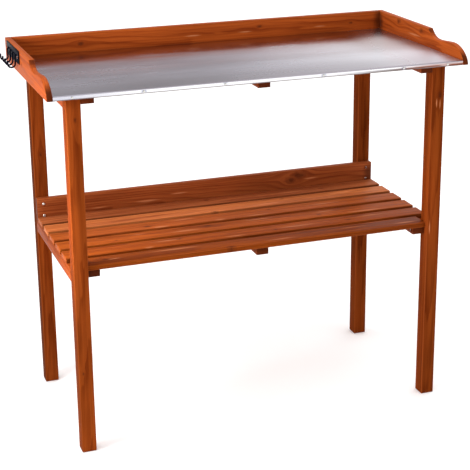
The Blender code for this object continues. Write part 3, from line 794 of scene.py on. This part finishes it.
def sheet_layer(shape, low, high, inset):
    """One skin of the sheet, as columns of vertices."""
    grid = []
    for column in range(COLUMNS + 1):
        x = low.x + (high.x - low.x) * column / COLUMNS
        line = []
        for y, z, on_lip in sheet_profile(low, high, inset):
            if on_lip:
                y += lip_dent(x, z, high.z)
            else:
                z -= WAVE_DEPTH * wave(x, y)
            line.append(shape.verts.new((x, y, z)))
        grid.append(line)
    return grid


def zinc_sheet(material):
    """The sheet over the worktop: slightly wavy, folded down at the front, dented at each nail."""
    low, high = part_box("zinc_sheet")
    shape = bmesh.new()
    outer, inner = (sheet_layer(shape, low, high, inset) for inset in (0.0, SHEET_THICKNESS))
    last = len(outer[0]) - 1
    for c in range(COLUMNS):
        for r in range(last):
            shape.faces.new((outer[c][r], outer[c][r + 1], outer[c + 1][r + 1], outer[c + 1][r]))
            shape.faces.new((inner[c][r], inner[c + 1][r], inner[c + 1][r + 1], inner[c][r + 1]))
        for r in (0, last):
            edge = (outer[c][r], outer[c + 1][r], inner[c + 1][r], inner[c][r])
            shape.faces.new(edge if r == 0 else edge[::-1])
    for c in (0, COLUMNS):
        for r in range(last):
            edge = (outer[c][r], inner[c][r], inner[c][r + 1], outer[c][r + 1])
            shape.faces.new(edge if c == 0 else edge[::-1])
    piece = finish_mesh("zinc_cover", shape, material)
    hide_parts("zinc_sheet")


# ---- screws and nails ----
HEAD_TURNS = 48
HEAD_RINGS = 18
DOME_SHARE = 0.75  # how much of the head's height its dome takes
SHANK_SHARE = 0.50
POINT_START = 0.8  # where along the fastener its point starts
POINT_SHARE = 0.2
POINT_BLUNT = 0.0002
RECESS_ARM = 0.22
RECESS_REACH = 0.62
RECESS_DEPTH = 0.60  # as a share of the head's height
NAIL_CROWN = 0.0007
WOOD_SCREW_CROWN = 0.0020
PLATE_SCREW_CROWN = 0.0018
FRAME_SCREW_CROWN = 0.0022


def in_recess(x, y):
    """True inside the cross of a driver recess; x and y are shares of the head's radius."""
    inner, outer = sorted((abs(x), abs(y)))
    return inner < RECESS_ARM and outer < RECESS_REACH


def circle(radius):
    angles = [2 * math.pi * turn / HEAD_TURNS for turn in range(HEAD_TURNS)]
    return [(radius * math.cos(angle), radius * math.sin(angle)) for angle in angles]


def fastener(node_name, axis, outward, crown, recessed, material):
    """A domed head on a plain pointed shank, with a cross recess if recessed, in place of a packed one.

    axis is the fastener's own direction, outward is +1 or -1 along it towards the head, and crown is the
    head's height.
    """
    low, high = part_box(node_name)
    head_end = high[axis] if outward > 0 else low[axis]
    length = high[axis] - low[axis]
    across = [i for i in (X, Y, Z) if i != axis]
    centre = (low + high) / 2
    radius = min(high[i] - low[i] for i in across) / 2
    recess = RECESS_DEPTH * crown if recessed else 0.0
    shape = bmesh.new()

    def vertex(x, y, down):
        place = centre.copy()
        place[across[0]] += x
        place[across[1]] += y
        place[axis] = head_end - outward * down
        return shape.verts.new(place)

    loops = []
    for ring in range(1, HEAD_RINGS + 1):
        share = ring / HEAD_RINGS
        dome = crown * DOME_SHARE * share**3
        hollow = recess * (1 - share)
        loop = []
        for x, y in circle(share):
            down = dome + hollow if in_recess(x, y) else dome
            loop.append(vertex(radius * x, radius * y, down))
        loops.append(loop)
    shank = radius * SHANK_SHARE
    shoulder = ((crown, radius), (crown, shank))
    point = ((length * POINT_START, shank), (length - POINT_BLUNT, shank * POINT_SHARE))
    for down, wide in shoulder + point:
        loops.append([vertex(x, y, down) for x, y in circle(wide)])
    middle = vertex(0, 0, recess)
    tip = vertex(0, 0, length)
    for turn in range(HEAD_TURNS):
        after = (turn + 1) % HEAD_TURNS
        shape.faces.new((middle, loops[0][turn], loops[0][after]))
        shape.faces.new((tip, loops[-1][after], loops[-1][turn]))
        for near, far in zip(loops, loops[1:]):
            shape.faces.new((near[turn], far[turn], far[after], near[after]))
    piece = finish_mesh(f"{node_name}_made", shape, material)
    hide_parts(node_name)


def is_hook(name):
    """True for the hook rail's plate and its numbered hooks, and not for their screws."""
    return name == "hook_rail" or name.removeprefix("hook_").isdigit()


def dress_metal():
    """Gives the metal nodes their finish, and makes the sheet and the fasteners in full detail."""
    black = black_steel()
    bright = zinc_plate("bright_zinc_plate", 0.0)
    # stain over these screws, partly painted shade that dims screws sitting in shade
    smear_and_shade = zinc_plate("smeared_and_shaded_zinc_plate", 1.0)
    for name, node in nodes.items():
        if is_hook(name):
            set_material(node, black)
            ease_edges(node, 0.0)
        elif "nail" in name:
            fastener(name, Y, -1, NAIL_CROWN, False, bright)
        elif "shelf_back_screw" in name:
            fastener(name, Y, -1, WOOD_SCREW_CROWN, True, smear_and_shade if name.endswith("right") else bright)
        elif "hook_rail_screw" in name:
            fastener(name, X, -1, PLATE_SCREW_CROWN, True, smear_and_shade)
        elif "frame_screw" in name:
            fastener(name, X, 1 if name.endswith("left") else -1, FRAME_SCREW_CROWN, True, smear_and_shade)
        elif "worktop_screw" in name:
            fastener(name, Z, -1, WOOD_SCREW_CROWN, True, bright)
    zinc_sheet(galvanised_zinc())


# ---- studio ----
SKY_BASE = 0.22
SKY_HORIZON = 0.50
HORIZON_TOP = 0.195
HORIZON_SOFTNESS = 0.05
SKY_OVERHEAD = 1.10
OVERHEAD_RISE = (0.15, 0.80)
SKY_FRONT = 0.15
FRONT_RISE = (0.1, -0.7)
SKY_SCREEN = 0.90
SCREEN_BEARING = math.radians(46)
SCREEN_HEIGHT = math.radians(24)
SCREEN_EDGE = 0.87
SCREEN_CORE = 0.955
PAPER_RADIUS = 30.0
PAPER_DROP = 0.0005  # how far the paper lies below the feet
PAPER_SIDES = 96
PAPER_WHITE = (0.92, 0.92, 0.92, 1.0)
PAPER_GLOW = 0.20
PAPER_ROUGHNESS = 0.9
PAPER_GLOSS = 0.1

# place, point aimed at, size, power and the angle that the light opens to
KEY_LAMP = ((-1.20, -0.36, 0.98), (-0.44, -0.10, 0.80), (0.45, 0.40), 9.5, 180)
LEG_LAMP = ((-1.15, -0.20, 0.66), (-0.44, -0.20, 0.60), (0.20, 0.25), 0.8, 40)

SENSOR_WIDTH = 36.0
LENS = 102.56
SHIFT_UP = -0.06
CAMERA_PLACE = (-1.0205, -2.8990, 1.4746)  # from the ground under the bench's middle
YAW, PITCH, ROLL = -0.33842, -0.31416, -0.01081
FARTHEST_SEEN = 100.0


def sky():
    """White studio light by direction: brightest overhead, with a bright screen at the back right."""
    world = bpy.data.worlds.new("studio_sky")
    g = Graph(world)
    ray = g.node("ShaderNodeSeparateXYZ", {0: g.node("ShaderNodeTexCoord").outputs["Generated"]})
    x, y, z = ray.outputs
    overhead = g.band(z, *OVERHEAD_RISE, 0.0, SKY_OVERHEAD)
    front = g.band(y, *FRONT_RISE, 0.0, SKY_FRONT)
    level = math.cos(SCREEN_HEIGHT)
    toward_x, toward_y = math.sin(SCREEN_BEARING) * level, math.cos(SCREEN_BEARING) * level
    facing = g.add(g.add(g.mul(x, toward_x), g.mul(y, toward_y)), g.mul(z, math.sin(SCREEN_HEIGHT)))
    screen = g.band(facing, SCREEN_EDGE, SCREEN_CORE, 0.0, SKY_SCREEN)
    horizon = g.band(z, HORIZON_TOP + HORIZON_SOFTNESS, HORIZON_TOP, SKY_BASE, SKY_HORIZON)
    strength = g.add(g.add(overhead, front), g.add(screen, horizon))
    seen = g.node("ShaderNodeLightPath").outputs["Is Camera Ray"]
    strength = g.math("MAXIMUM", strength, seen)
    background = world.node_tree.nodes["Background"]
    background.inputs["Color"].default_value = (1.0, 1.0, 1.0, 1.0)
    g.put(background.inputs["Strength"], strength)
    bpy.context.scene.world = world


def softbox(name, place, aim, size, power, spread):
    """A rectangular lamp that lights the bench and isn't seen itself; spread is the angle it opens to."""
    light = bpy.data.lights.new(name, "AREA")
    light.shape = "RECTANGLE"
    light.size, light.size_y = size
    light.energy = power
    light.spread = math.radians(spread)
    lamp = bpy.data.objects.new(name, light)
    lamp.location = place
    lamp.rotation_euler = (Vector(aim) - Vector(place)).to_track_quat("-Z", "Y").to_euler()
    lamp.visible_camera = False
    bpy.context.scene.collection.objects.link(lamp)


def studio():
    """White paper under a white sky, a soft lamp at the left end and a small one on the left legs."""
    floor_mesh = bpy.data.meshes.new("studio_floor")
    shape = bmesh.new()
    bmesh.ops.create_circle(shape, cap_ends=True, radius=PAPER_RADIUS, segments=PAPER_SIDES)
    shape.to_mesh(floor_mesh)
    shape.free()
    paper = Graph(bpy.data.materials.new("studio_paper"))
    paper.shader.inputs["Base Color"].default_value = PAPER_WHITE
    paper.shader.inputs["Roughness"].default_value = PAPER_ROUGHNESS
    paper.shader.inputs["Specular IOR Level"].default_value = PAPER_GLOSS
    paper.shader.inputs["Emission Color"].default_value = (1, 1, 1, 1)
    paper.shader.inputs["Emission Strength"].default_value = PAPER_GLOW
    floor = link("studio_floor", floor_mesh, paper.owner, (0, 0, -PAPER_DROP))
    sky()
    softbox("key", *KEY_LAMP)
    softbox("leg_key", *LEG_LAMP)
    view = bpy.context.scene.view_settings
    view.view_transform = "Standard"
    view.look = "None"


def camera():
    """Seen from the front left and a little above, as wide as the bench."""
    data = bpy.data.cameras.new("camera")
    data.sensor_width = SENSOR_WIDTH
    data.lens = LENS
    data.shift_y = SHIFT_UP
    data.clip_end = FARTHEST_SEEN
    made = bpy.data.objects.new("camera", data)
    level = math.cos(PITCH)
    forward = Vector((-math.sin(YAW) * level, math.cos(YAW) * level, math.sin(PITCH)))
    right = Vector((math.cos(YAW), math.sin(YAW), 0.0))
    up = right.cross(forward)
    rolled_right = math.cos(ROLL) * right + math.sin(ROLL) * up
    rolled_up = -math.sin(ROLL) * right + math.cos(ROLL) * up
    turned = Matrix((rolled_right, rolled_up, -forward)).transposed()
    place = Vector((CENTRE_X, 0.0, 0.0)) + Vector(CAMERA_PLACE)
    made.matrix_world = Matrix.Translation(place) @ turned.to_4x4()
    bpy.context.scene.collection.objects.link(made)
    bpy.context.scene.camera = made


dress_timber()
dress_metal()
studio()
camera()
